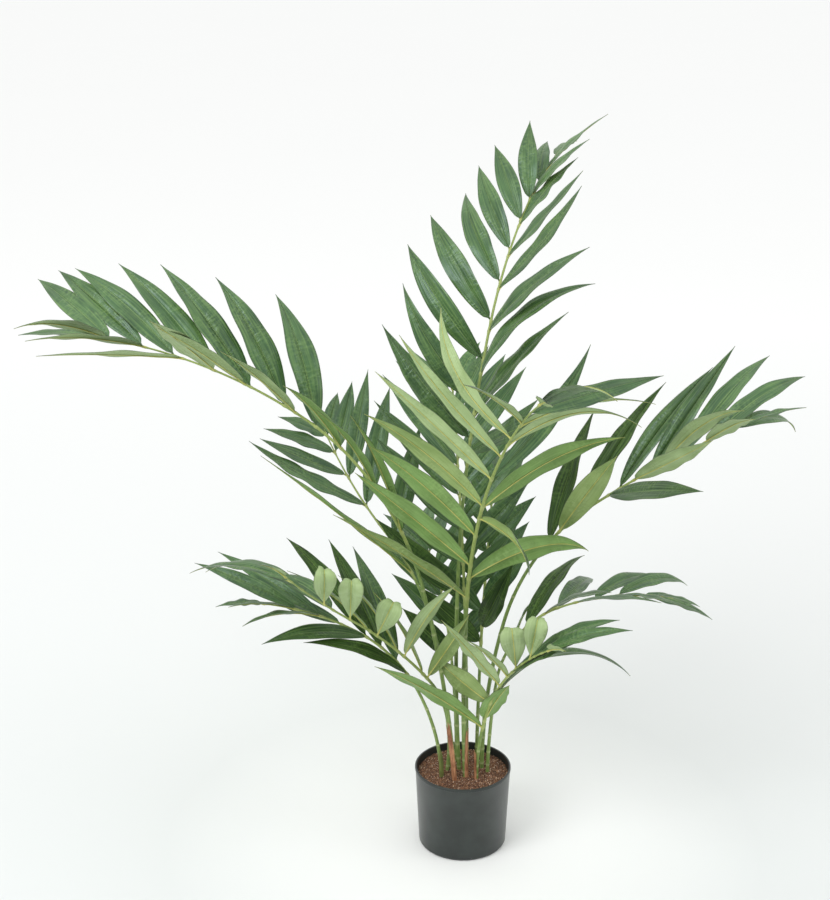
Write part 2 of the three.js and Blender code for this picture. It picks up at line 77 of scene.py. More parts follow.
# Each frond: foot on the soil; heading and lean from upright along its curve; length of that curve; roll
# of the blade; stem, the radius at its foot; width of its widest leaflets; length of the leaflet at its
# tip. Each side has a count of leaflets and, from the blade's foot to its tip, their place as a share of
# the curve, length, spread, lift, curl and twist. The bent ones are set by themselves. Left and right
# are as seen along the rib from its upper face.
FRONDS = {
    "top": dict(
        foot=(-6, 6), heading=(54, 59, 68), lean=(-6, 4, 25, 80), length=1145, roll=(-9, 8),
        stem=3.6, width=43, tip=110,
        left=dict(
            count=9, place=(0.51, 0.62, 0.73, 0.83, 0.91), length=(230, 235, 210, 155, 115),
            spread=(46, 43, 40, 30, 12), lift=(22, 32, 14, 24, 18), curl=(20, 55, 50, 25, 38)),
        right=dict(
            count=9, place=(0.49, 0.6, 0.72, 0.82, 0.94), length=(205, 245, 220, 165, 145),
            spread=(55, 34, 45, 22, 30), lift=(6, 12, 16, 4, 20), curl=(15, 45, -15, 14, 16),
            twist=(35, 40, 30, 25, 25)),
        bent=dict(
            left1=dict(spread=34, lift=58, curl=78, length=235),
            left4=dict(spread=40, lift=14, curl=50, length=205),
            left7=dict(spread=14, lift=30, curl=20, length=146),
            right1=dict(spread=31, lift=3, curl=13), right2=dict(spread=26, lift=19, curl=70),
            right3=dict(spread=44, lift=26, curl=30, length=228),
            right5=dict(spread=50, lift=26, curl=-5), right6=dict(spread=14, lift=0),
            right7=dict(spread=24, length=138)),
    ),
    "left_long": dict(
        foot=(-14, -28), heading=(176, 162, 192), lean=(4, 14, 57, 77), length=1040, roll=(3, 1),
        stem=3.6, width=50, tip=130,
        left=dict(
            count=9, place=(0.43, 0.59, 0.765, 0.865, 0.98), length=(240, 240, 240, 238, 202),
            spread=(30, 44, 42, 25, 32), lift=(23, 28, 22, -6, 19), curl=(17, 19, 8, 7, 33),
            twist=(50, 35)),
        right=dict(
            count=7, place=(0.64, 0.755, 0.878, 0.975), length=(230, 245, 230, 218),
            spread=(6, 14, 24, 50), lift=(46, 29, 24, 13), curl=(55, 26, 34, 23), twist=(45, 38)),
        bent=dict(left0=dict(spread=14, lift=17), left5=dict(spread=53, lift=26, curl=8)),
    ),
    "front": dict(
        foot=(4, -19), heading=(299, 280), lean=(-6, 5, 39, 63), length=910, roll=(8, 40),
        stem=4.2, width=44, tip=60,
        left=dict(
            count=8, place=(0.4, 0.54, 0.565, 0.65, 0.765, 0.85, 0.92, 0.975),
            length=(245, 260, 245, 205), spread=(55, 46, 46, 18), lift=(12, 40, 42, 28),
            curl=(78, 45, 60, 58), twist=(0, 10)),
        right=dict(
            count=8, place=(0.36, 0.52, 0.7, 0.865), length=(270, 237, 240, 205),
            spread=(51, 54, 78, 60), lift=(-3, 17, 18, 10), curl=(0, 38, -16, 15)),
        bent=dict(
            left1=dict(spread=66, lift=-34, curl=47, length=163),
            left3=dict(spread=36, curl=30, twist=180),
            left4=dict(spread=28, lift=29, curl=63, twist=30),
            left5=dict(spread=31, lift=26, curl=35, length=232, twist=28),
            left6=dict(spread=31, lift=25, curl=-13, length=231, twist=170),
            left7=dict(spread=8, lift=22, curl=-49, length=199, twist=210),
            right0=dict(twist=40, curl=6), right6=dict(spread=97, lift=19, curl=-49, length=239),
            right7=dict(spread=32, lift=-11)),
    ),
    "right": dict(
        foot=(32, 13), heading=(17, -17, -17), lean=(0, 14, 51, 59), length=810, roll=(3, -6),
        stem=3.6, width=41, tip=110,
        left=dict(
            count=7, place=(0.54, 0.725, 0.875, 0.98), length=(235, 246, 227, 155),
            spread=(33, 24, 34, 41), lift=(24, 21, 20, -12), curl=(22, 28, 42, 72), twist=(40, 40)),
        right=dict(
            count=5, place=(0.57, 0.7, 0.76, 0.825, 0.92), length=(241, 241, 231, 218, 160),
            spread=(21, 38, 36, 12, 32), lift=(10, -5, 7, 22, 16), curl=(17, 3, 0, 43, 25),
            twist=(80, -10, 70, 65, 60)),
        bent=dict(left1=dict(spread=25, curl=30, length=253), left3=dict(curl=14),
                  left5=dict(spread=22, lift=13, length=200)),
    ),
    "left_low_front": dict(
        foot=(-26, 2), heading=(240, 201, 232), lean=(-13, 37, 52, 45), length=565, roll=(-16, -9),
        stem=3, width=42, tip=70,
        left=dict(
            count=5, place=(0.35, 0.58, 0.8), length=(165, 178, 152, 150, 152),
            spread=(50, 45, 55, 42, 30), lift=(38, 48, 30, 18, 14), curl=(17, 22, 22, 12, 27),
            twist=(0, 45, 0, 0, 0)),
        right=dict(
            count=6, place=(0.37, 0.49, 0.61, 0.76, 0.9, 0.955), length=(160, 165, 165, 145, 204, 199),
            spread=(48, 45, 42, 60, 71, 74), lift=(36, 28, 20, 22, 16, 8), curl=(21, 25, 28, 52, 54, 44),
            twist=(0, 0, 0, 50, 50, 50)),
    ),
    "left_low": dict(
        foot=(-36, -16), heading=(169, 196), lean=(2, 26, 59, 77), length=480, roll=(4, 3),
        stem=3, width=37, tip=80,
        left=dict(
            count=4, place=(0.41, 0.61, 0.79, 0.88), length=(205, 192, 166, 144),
            spread=(24, 26, 27, 25), lift=(-3, -5, 5, 12), curl=(50, 40, 29, 20), twist=(4, -5, 24, 18)),
        right=dict(
            count=6, place=(0.47, 0.545, 0.61, 0.71, 0.78, 0.87), length=(238, 232, 231, 228, 215, 187),
            spread=(50, 48, 28, 43, 35, 24), lift=(8, 9, 16, -17, 2, 7), curl=(15, 17, 44, 5, 12, 21),
            twist=(45, 35)),
    ),
    "right_low_front": dict(
        foot=(22, -24), heading=(322, 299), lean=(0, 17, 43, 58), length=370, roll=(16, 35),
        stem=3, width=42, tip=60,
        left=dict(
            count=6, place=(0.31, 0.42, 0.66, 0.76, 0.87, 0.93), length=(100, 268, 178, 155, 150, 153),
            spread=(8, 28, 9, 22, 22, 20), lift=(-6, 19, 1, 20, 30, 22), curl=(21, 105, 17, 22, 32, 40),
            twist=(0, 50, 60, 65, 70, 70)),
        right=dict(
            count=6, place=(0.27, 0.415, 0.54, 0.62, 0.7, 0.83), length=(264, 115, 167, 148, 160, 150),
            spread=(52, 72, 54, 48, 28, 25), lift=(10, 34, 17, 4, 5, 10), curl=(18, -10, 0, 14, 22, 20),
            twist=(42, 0, 28, 38, 0, 0)),
    ),
    "right_low": dict(
        foot=(41, -3), heading=(15, 15, -24), lean=(1, 8, 69, 85), length=500, roll=(13, 15),
        stem=3, width=35, tip=80,
        left=dict(
            count=5, place=(0.55, 0.67, 0.79, 0.87, 0.955), length=(215, 173, 155, 160, 144),
            spread=(34, 54, 35, 37, 43), lift=(11, 13, 19, 19, -13), curl=(49, 46, 56, 62, 22),
            twist=(35, 35)),
        right=dict(
            count=4, place=(0.5, 0.62, 0.73, 0.88), length=(172, 165, 157, 124), spread=(52, 42, 29, 30),
            lift=(25, 12, 2, 1), curl=(20, 25, 25, 18)),
    ),
    "left_back": dict(
        foot=(-19, 15), heading=(141, 130), lean=(4, 13, 58, 39), length=640, roll=(-5, 11),
        stem=3.4, width=37, tip=70,
        left=dict(
            count=5, place=(0.54, 0.76, 0.86, 0.93, 0.98), length=(318, 227, 170, 133, 97),
            spread=(30, 44, 52, 54, 53), lift=(2, 6, 7, 16, 17), curl=(4, -12, -14, 21, 10),
            twist=(70, 15, 15, 15, 15)),
        right=dict(
            count=5, place=(0.63, 0.76, 0.85, 0.93, 0.98), length=(222, 215, 200, 137, 94),
            spread=(38, 35, 34, 39, 37), lift=(25, 29, 24, 13, 1), curl=(16, 18, 23, 17, 24),
            twist=(15, 15)),
    ),
    "back": dict(
        foot=(7, 22), heading=(100, 92), lean=(2, 10, 38, 65), length=700, roll=(0, 0),
        stem=3.4, width=39, tip=90,
        left=dict(
            count=8, place=(0.42, 0.7, 0.955), length=(210, 215, 120), spread=(48, 42, 25),
            lift=(22, 20, 15), curl=(20, 24)),
        right=dict(
            count=8, place=(0.44, 0.72, 0.955), length=(140, 215, 120), spread=(42, 42, 25),
            lift=(22, 20, 15), curl=(20, 24)),
    ),
    "right_back": dict(
        foot=(24, 33), heading=(78, 84), lean=(2, 14, 40, 66), length=520, roll=(0, 0),
        stem=3.2, width=36, tip=80,
        left=dict(
            count=7, place=(0.4, 0.69, 0.955), length=(150, 155, 100), spread=(50, 42, 25),
            lift=(22, 20, 15), curl=(20, 24)),
        right=dict(
            count=7, place=(0.45, 0.71, 0.955), length=(105, 120, 95), spread=(42, 38, 25),
            lift=(28, 20, 15), curl=(20, 24)),
        bent=dict(right0=dict(spread=30, lift=60, curl=34, length=185)),
    ),
    "low_back": dict(
        foot=(-10, 36), heading=(98, 106), lean=(2, 26, 58, 82), length=450, roll=(0, 0),
        stem=3, width=35, tip=80,
        left=dict(
            count=6, place=(0.4, 0.69, 0.955), length=(120, 145, 100), spread=(44, 42, 25),
            lift=(22, 20, 15), curl=(20, 24)),
        right=dict(
            count=6, place=(0.43, 0.71, 0.955), length=(145, 150, 100), spread=(50, 42, 25),
            lift=(22, 20, 15), curl=(20, 24)),
    ),
}

# Each husk: the stem it hugs, the side it lies on and its height
HUSKS = {
    "husk_1": dict(stem="left_long", side=250, height=112),
    "husk_2": dict(stem="front", side=330, height=92),
    "husk_3": dict(stem="right_low_front", side=200, height=55),
    "husk_4": dict(stem="left_low", side=290, height=52, green=True),
    "husk_5": dict(stem="back", side=115, height=68),
}
HUSK_GAP = 0.5
HUSK_ARC = 150
HUSK_PLANTED_DEPTH = 8
HUSK_FLARE = 3
HUSK_NARROWING = 0.7


# Finishes

def linear(code):
    """A hex colour in sRGB as linear light with full opacity."""
    channels = [((code >> shift) & 255) / 255 for shift in (16, 8, 0)]
    return (*[c / 12.92 if c <= 0.04045 else ((c + 0.055) / 1.055) ** 2.4 for c in channels], 1)


def put(tree, kind, inputs=(), **settings):
    """Adds a node with its settings. Each input, by name or in order, takes a plain value, or a link
    from a socket or from a node's first output."""
    made = tree.nodes.new(kind)
    for name, value in settings.items():
        setattr(made, name, value)
    for name, value in inputs.items() if isinstance(inputs, dict) else enumerate(inputs):
        if isinstance(value, bpy.types.Node):
            value = value.outputs[0]
        if isinstance(value, bpy.types.NodeSocket):
            tree.links.new(value, made.inputs[name])
        else:
            made.inputs[name].default_value = value
    return made


def finish(name, base, bump, strength, **constants):
    """A material whose colour and relief come from two functions, and the rest from plain numbers."""
    material = bpy.data.materials.new(name)
    material.use_nodes = True
    tree = material.node_tree
    tree.nodes.clear()
    relief = put(tree, "ShaderNodeBump", {"Height": bump(tree), "Distance": strength * MM})
    shader = put(tree, "ShaderNodeBsdfPrincipled", {
        "Base Color": base(tree), "Normal": relief,
        **{key.replace("_", " "): value for key, value in constants.items()},
    })
    put(tree, "ShaderNodeOutputMaterial", {"Surface": shader})
    return material


def mottle(tree, size, detail=3.0, upright=1):
    """Uneven patches about size millimetres across; a small upright share draws them out in height."""
    place = put(tree, "ShaderNodeTexCoord").outputs["Object"]
    drawn = put(tree, "ShaderNodeMapping", {"Vector": place, "Scale": (1, 1, upright)})
    return put(tree, "ShaderNodeTexNoise", {"Vector": drawn, "Scale": 1 / (size * MM), "Detail": detail})


def tinted(tree, colour, tone, where, low=0.0, high=1.0, share=1.0):
    """A colour that turns to a tone, up to a share, as a value goes from low to high."""
    amount = put(tree, "ShaderNodeMapRange", {
        "Value": where, "From Min": low, "From Max": high, "To Max": share,
    })
    first, second = [linear(part) if isinstance(part, int) else part for part in (colour, tone)]
    return put(tree, "ShaderNodeMixRGB", {"Fac": amount, "Color1": first, "Color2": second})


# A leaflet's map runs 0 to 1 across it and in metres along it, so that its veins close up to the tip
LEAF_MAP = "leaflet"
MAIN_VEINS = 7
VEIN_DRIFT = 0.12
FINE_VEINS = 60
PUCKER = 4.5
PUCKERED_STRETCH = 45
SWELL = 24


def leaf_pattern(tree, across, lengthwise, detail, low=0.0, high=1.0):
    """Patches, so many across a leaflet and so many on a metre of it, drawn out from low to high."""
    drawn = put(tree, "ShaderNodeMapping", {
        "Vector": put(tree, "ShaderNodeUVMap", uv_map=LEAF_MAP), "Scale": (across, lengthwise, 1),
    })
    patches = put(tree, "ShaderNodeTexNoise", {"Vector": drawn, "Scale": 1.0, "Detail": detail})
    return put(tree, "ShaderNodeMapRange", {"Value": patches, "From Min": low, "From Max": high})


def share_across(tree):
    """0 on one edge of a leaflet and 1 on the other."""
    return put(tree, "ShaderNodeSeparateXYZ", [put(tree, "ShaderNodeUVMap", uv_map=LEAF_MAP)])


def main_veins(tree):
    """Broad lengthwise ridges from 0 in the furrows to 1 on top, which wander a little."""
    drift = leaf_pattern(tree, 3, 18, 1.0)
    place = put(tree, "ShaderNodeMath", [drift, VEIN_DRIFT, share_across(tree)], operation="MULTIPLY_ADD")
    angle = put(tree, "ShaderNodeMath", [place, 2 * math.pi * MAIN_VEINS], operation="MULTIPLY")
    wave = put(tree, "ShaderNodeMath", [angle], operation="COSINE")
    return put(tree, "ShaderNodeMath", [wave, 0.5, 0.5], operation="MULTIPLY_ADD")


def fine_veins(tree, low=0.0, high=1.0):
    """Lengthwise streaks, the widest drawn four times as coarse as the real ones so that they show."""
    return leaf_pattern(tree, FINE_VEINS / 4, 12, 2.0, low, high)


def off_middle(tree):
    """How far a point lies from a leaflet's middle line: 0 there and 0.5 on the edge."""
    side = put(tree, "ShaderNodeMath", [share_across(tree), 0.5], operation="SUBTRACT")
    return put(tree, "ShaderNodeMath", [side], operation="ABSOLUTE")


def midline(tree):
    """1 on a leaflet's middle line and 0 from a fortieth of its width off it."""
    away = off_middle(tree)
    return put(tree, "ShaderNodeMapRange", {"Value": away, "From Min": 0.026, "From Max": 0.008})


def cross_puckers(tree):
    """Short ridges across a leaflet, 0 to 1, in stretches where the heated cloth has shrunk."""
    ridges = leaf_pattern(tree, 4, 1 / (PUCKER * MM), 1.0, 0.4, 0.7)
    stretches = leaf_pattern(tree, 1.4, 1 / (PUCKERED_STRETCH * MM), 0.0, 0.42, 0.62)
    return put(tree, "ShaderNodeMath", [ridges, stretches], operation="MULTIPLY")


def leaf_relief(tree):
    """Slow swells, low ridges, streaks and cross puckers, and a furrow down the middle."""
    height = put(tree, "ShaderNodeMath", [mottle(tree, SWELL, 1), 1.6], operation="MULTIPLY")
    for part, share in ((cross_puckers, 0.45), (main_veins, 0.14), (fine_veins, 0.4), (midline, -0.5)):
        height = put(tree, "ShaderNodeMath", [part(tree), share, height], operation="MULTIPLY_ADD")
    return height


SINGED_EDGE = 0x4C5138


def leaf_cloth(name, deep, mid, light, vein, streak, **constants):
    """Polyester leaf cloth, dyed unevenly, heat embossed and hot cut: paler streaks, a painted sheen on
    the cross puckers, singed edges.
    """
    def base(tree):
        dye_and_sheen = tinted(tree, deep, mid, mottle(tree, 50), 0.35, 0.65)
        ridge = put(tree, "ShaderNodeMath", [main_veins(tree), 0.5, 0.5], operation="MULTIPLY_ADD")
        streaks = put(tree, "ShaderNodeMath", [ridge, fine_veins(tree, 0.42, 0.68)], operation="MULTIPLY")
        dye_and_sheen = tinted(tree, dye_and_sheen, light, streaks, share=streak)
        # Painted sheen: the cross puckers are tinted paler, as if their ridges caught the light
        dye_and_sheen = tinted(tree, dye_and_sheen, light, cross_puckers(tree), share=0.4)
        dye_and_sheen = tinted(tree, dye_and_sheen, vein, midline(tree), share=0.5)
        return tinted(tree, dye_and_sheen, SINGED_EDGE, off_middle(tree), 0.468, 0.49, 0.55)
    return finish(name, base, leaf_relief, 1.1, **constants)


PRINTED_GLOSS = dict(Sheen_Weight=0.12, Sheen_Roughness=0.4, Specular_Tint=(0.8, 0.96, 1, 1),
                     Specular_IOR_Level=0.62)

# Each cloth: its shade, roughness, gloss where it is printed, four colours and how strong its streaks are
# Mostly lit and shaded copies of one printed cloth, beside its own uneven tone: the darker cloths are
# painted shade and the paler ones painted light
UPPER_CLOTHS = [
    leaf_cloth(f"printed_leaf_cloth_painted_shading_{shade}", *colours, Roughness=roughness, **gloss)
    for shade, roughness, gloss, *colours in (
        ("dark", 0.45, dict(Specular_IOR_Level=0.3), 0x1C350F, 0x2A4818, 0x5F8038, 0x7C9A4C, 0.65),
        ("deep", 0.32, PRINTED_GLOSS, 0x29451C, 0x395927, 0x6B8A4A, 0x86A45E, 0.65),
        ("mid", 0.33, PRINTED_GLOSS, 0x2D4C25, 0x426535, 0x7A9A56, 0x8EAB66, 0.6),
        ("palest", 0.36, PRINTED_GLOSS, 0x365829, 0x4B723B, 0x80A05E, 0x9BB472, 0.6),
    )]
# Mostly lit and shaded copies of one backing, beside its own uneven tone: the deeper ones are painted
# shade and the paler ones painted light
UNDER_CLOTHS = [
    leaf_cloth(f"bare_leaf_backing_painted_shading_{shade}", *colours, 0.4, Roughness=roughness)
    for shade, roughness, *colours in (
        ("deep", 0.48, 0x6B8C46, 0x7CA156, 0x93B46B, 0xA4AC60),
        ("mid", 0.5, 0x7D9753, 0x92AA67, 0xA5BC7D, 0xA9B068),
        ("pale", 0.54, 0x8CA46A, 0xA0B77F, 0xB2C795, 0xAFB572),
    )]


def mottled(name, dark, light, patches, spread, grain, strength, roughness):
    """A finish from dark to light in patches, with a finer grain; each has a size and a detail."""
    return finish(name, lambda tree: tinted(tree, dark, light, mottle(tree, *patches), *spread),
                  lambda tree: mottle(tree, *grain), strength, Roughness=roughness)


# Polyethylene midrib moulded on the cloth: dull olive yellow
MIDRIB = mottled("moulded_polyethylene_midrib", 0xABAC56, 0xC8C774, (25, 3), (0.3, 0.7), (2, 3), 0.2, 0.5)

# Injection moulded polypropylene, dark grey, with the fine satin grain of a worn mould
POT_PLASTIC = mottled("moulded_polypropylene_pot", 0x252B29, 0x313936, (30, 5), (0.42, 0.8), (0.7, 3),
                      0.06, 0.3)


def moulded_sleeve(name, dark, light, ring):
    """Polyethylene sleeve extruded over wire: fine lengthwise streaks and paler scars round it."""
    def base(tree):
        colour = tinted(tree, dark, light, mottle(tree, 1.6, upright=0.08), 0.35, 0.65)
        scar = put(tree, "ShaderNodeAttribute", attribute_name="scar").outputs["Fac"]
        return tinted(tree, colour, ring, scar)
    return finish(name, base, lambda tree: mottle(tree, 1.2, upright=0.12), 0.5, Roughness=0.46)


STEM_SLEEVE = moulded_sleeve("extruded_stem_sleeve", 0x67823F, 0x8AA25A, 0xB6BD8C)
RIB_SLEEVE = moulded_sleeve("extruded_rib_sleeve", 0x85994E, 0x9DAD62, 0xB4BB7A)


def sheath_film(name, dark, light, stain):
    """Drawn and torn polyethylene sheath film: darker fibres along it, and stained in places."""
    def base(tree):
        colour = tinted(tree, dark, light, mottle(tree, 1.1, upright=0.05), 0.35, 0.62)
        return tinted(tree, colour, stain, mottle(tree, 22), 0.5, 0.72)
    return finish(name, base, lambda tree: mottle(tree, 0.9, upright=0.06), 0.6, Roughness=0.62)


DRY_FILM = sheath_film("dry_sheath_film", 0x8A5638, 0xC9946C, 0x7B4A30)
GREEN_FILM = sheath_film("green_sheath_film", 0x5C6A36, 0x84924E, 0x6E6A3C)


def granulate(name, dark, light):
    """Cork and bark granules glued in place: dull and uneven in tone."""
    return mottled(name, dark, light, (3, 4), (0.35, 0.65), (1.2, 4), 0.8, 0.92)


SOIL_BED = granulate("glued_bark_dust", 0x4E372C, 0x7A5A45)

# Each kind of granule: its finish, how many there are on a square millimetre, and its seed
GRAINS = {
    "granules_dark": (granulate("dark_bark_granules", 0x42291E, 0x5E3F30), 0.07, 1),
    "granules_brown": (granulate("brown_bark_granules", 0x7C563F, 0xA87C5C), 0.11, 2),
    "granules_pale": (granulate("pale_cork_granules", 0xB0907A, 0xDCC4AC), 0.025, 3),
}


# Meshes

def linked(name, data):
    """An object made of data, in the scene."""
    made = bpy.data.objects.new(name, data)
    bpy.context.scene.collection.objects.link(made)
    return made


def meshed(name, shapes, materials, angle=50):
    """One object of closed shapes, smooth but for edges sharper than angle. A shape has points in
    millimetres, faces by index, a finish for each face and, on a leaflet, a place for each point."""
    points, faces, slots, maps = [], [], [], []
    for corners, sides, finishes, places in shapes:
        faces += [tuple(int(i) + len(points) for i in side) for side in sides]
        points.extend(corners)
        slots += finishes
        maps.extend(np.zeros((len(corners), 2)) if places is None else places)
    data = bpy.data.meshes.new(name)
    data.from_pydata((np.array(points, float) * MM).tolist(), [], faces)
    for material in materials:
        data.materials.append(material)
    data.polygons.foreach_set("material_index", slots)
    data.polygons.foreach_set("use_smooth", [True] * len(faces))
    loops = np.zeros(len(data.loops), np.int32)
    data.loops.foreach_get("vertex_index", loops)
    layer = data.uv_layers.new(name=LEAF_MAP)
    layer.data.foreach_set("uv", np.array(maps)[loops].astype(np.float32).ravel())
    data.set_sharp_from_angle(angle=math.radians(angle))
    data.update()
    return linked(name, data)


def sheet_faces(rows, columns, upper, under):
    """Faces of a thin closed sheet: an upper grid of points, then the same grid for its underside. The
    rim has the upper finish."""
    size = rows * columns
    faces, slots = [], []
    for row in range(rows - 1):
        for column in range(columns - 1):
            a = row * columns + column
            b = a + 1
            c = b + columns
            d = a + columns
            faces += [(a, b, c, d), (a + size, d + size, c + size, b + size)]
            slots += [upper, under]
        for a, b in ((row * columns, (row + 1) * columns),
                     ((row + 2) * columns - 1, (row + 1) * columns - 1)):
            faces.append((a, b, b + size, a + size))
            slots.append(upper)
    for column in range(columns - 1):
        last = (rows - 1) * columns + column
        faces += [(column + 1, column, column + size, column + 1 + size),
                  (last, last + 1, last + 1 + size, last + size)]
        slots += [upper, upper]
    return faces, slots


def wall_faces(rings, sides, first=0):
    """Faces between rings of points that run anticlockwise seen from the last one."""
    faces = []
    for ring in range(first, first + (rings - 1) * sides, sides):
        for side in range(sides):
            a = ring + side
            b = ring + (side + 1) % sides
            faces.append((a, b, b + sides, a + sides))
    return faces


def unit(vectors):
    return vectors / np.linalg.norm(vectors, axis=-1, keepdims=True)


# Growth

def along(samples, u):
    """Value of a profile, given as evenly spaced samples from foot to tip, at share u."""
    place = min(max(u, 0), 1) * (len(samples) - 1)
    low = min(int(place), len(samples) - 2)
    return samples[low] + (samples[low + 1] - samples[low]) * (place - low)


def leaning(lean, heading):
    """Unit vector that leans from upright towards a compass heading."""
    flat = math.sin(lean)
    return np.array([flat * math.cos(heading), flat * math.sin(heading), math.cos(lean)])


def frond_curve(frond):
    """The curve of stem and rib: place, forward and the blade's upper normal at each step."""
    place = np.array([*frond["foot"], SOIL_LEVEL], float)
    curve = []
    for i in range(CURVE_STEPS + 1):
        s = i / CURVE_STEPS
        lean, heading, roll = [math.radians(along(frond[key], s)) for key in ("lean", "heading", "roll")]
        forward = leaning(lean, heading)
        flat_normal = leaning(lean - math.pi / 2, heading)
        normal = flat_normal * math.cos(roll) + np.cross(flat_normal, forward) * math.sin(roll)
        if i > 0:
            place = place + unit(curve[-1][1] + forward) * frond["length"] / CURVE_STEPS
        curve.append((place, forward, normal))
    return curve


def curve_point(frond, curve, s):
    """Place, forward, normal and left at share s of a curve; below 0 the curve runs straight on."""
    position = min(max(s, 0), 1) * CURVE_STEPS
    low = min(int(position), CURVE_STEPS - 1)
    mix = position - low
    place, forward, normal = [a + (b - a) * mix for a, b in zip(curve[low], curve[low + 1])]
    forward = unit(forward)
    normal = unit(normal)
    if s < 0:
        place = place + forward * s * frond["length"]
    return place, forward, normal, np.cross(normal, forward)


def stem_radius(frond, s):
    """Radius of stem and rib at share s of the curve."""
    return frond["stem"] + (RIB_TIP_RADIUS - frond["stem"]) * max(0, s) ** RIB_TAPER_POWER


# Leaflets

LEAF_ROWS = 38
LEAF_COLUMNS = 6
LEAF_CLOTH = 0.45
STALK_LENGTH = 7
MIDRIB_SIDES = 6
MIDRIB_SLOT = len(UPPER_CLOTHS) + len(UNDER_CLOTHS)

# Outline: the share of its length where a leaflet is widest, how full it is towards its foot and its
# tip, and half the width of the hair that it ends in
WIDEST = (0.38, 0.46)
FOOT_POWER = (0.6, 0.75)
TIP_POWER = (1.75, 2.05)
TIP_DRAW = 1.3
HAIR = 0.25

# Radii of a leaflet's midrib: at these runs from its root, where it is the stalk, and at its last shares
MIDRIB_RUNS = (0, 6, 22)
MIDRIB_SHARES = (0.85, 1)
MIDRIB_RADII = (2.0, 1.35, 0.95, 0.4, 0.2)
MIDRIB_DEPTH = 0.55
MIDRIB_FLATNESS = 0.8

# How a leaflet strays from its frond's rule: sideways, round itself, in its fold along the midrib, which
# is deeper at its root, and in the waves of its edges
SWEEP = 7
TURN = 12
FOLD = (12, 22)
ROOT_FOLD = 30
ROOT_FOLD_REACH = 0.05
RIPPLE = (2, 8)
RIPPLE_WAVES = (2.2, 3.8)

# The fold is steeper than its mean at the midrib and flatter at the edges. Fine puckers run along the
# midrib, where half the leaflet is wide enough
STEEP_MIDDLE = 1.55
EDGE_FLATTENING = 1.1
PUCKER_HEIGHT = 0.12
PUCKER_RUN = 2.6
PUCKERED_HALF = 8

# Where along its length a leaflet that is tucked back turns over, and where it narrows to round lobes
TUCK_START = 0.46
TUCK_SHARE = 0.2
LOBE_START = 0.51
LOBE_END = 0.58


def smooth(share):
    """A share from 0 to 1 that starts and ends gently."""
    return share * share * (3 - 2 * share)


def leaf_half_width(shape, w, chance):
    """Half width at shares w of a leaflet: a short stalk, then a blade drawn out to a hair."""
    width, length = shape["width"], shape["length"]
    widest = shape.get("widest", chance.uniform(*WIDEST))
    before = np.clip(w / widest, 0, 1)
    after = np.clip((w - widest) / (1 - widest), 0, 1)
    blade = np.sin(math.pi / 2 * before) ** shape.get("foot_power", chance.uniform(*FOOT_POWER))
    blade = blade * (1 - after ** chance.uniform(*TIP_POWER)) ** TIP_DRAW
    rounded = np.clip((w - LOBE_START) / (LOBE_END - LOBE_START), 0, 1)
    blade = blade * (1 - shape.get("pinch", 0) * rounded ** 1.6)
    opened = np.clip((w * length - STALK_LENGTH * 0.4) / STALK_LENGTH, 0, 1)
    return np.maximum(width / 2 * blade * smooth(opened), HAIR)


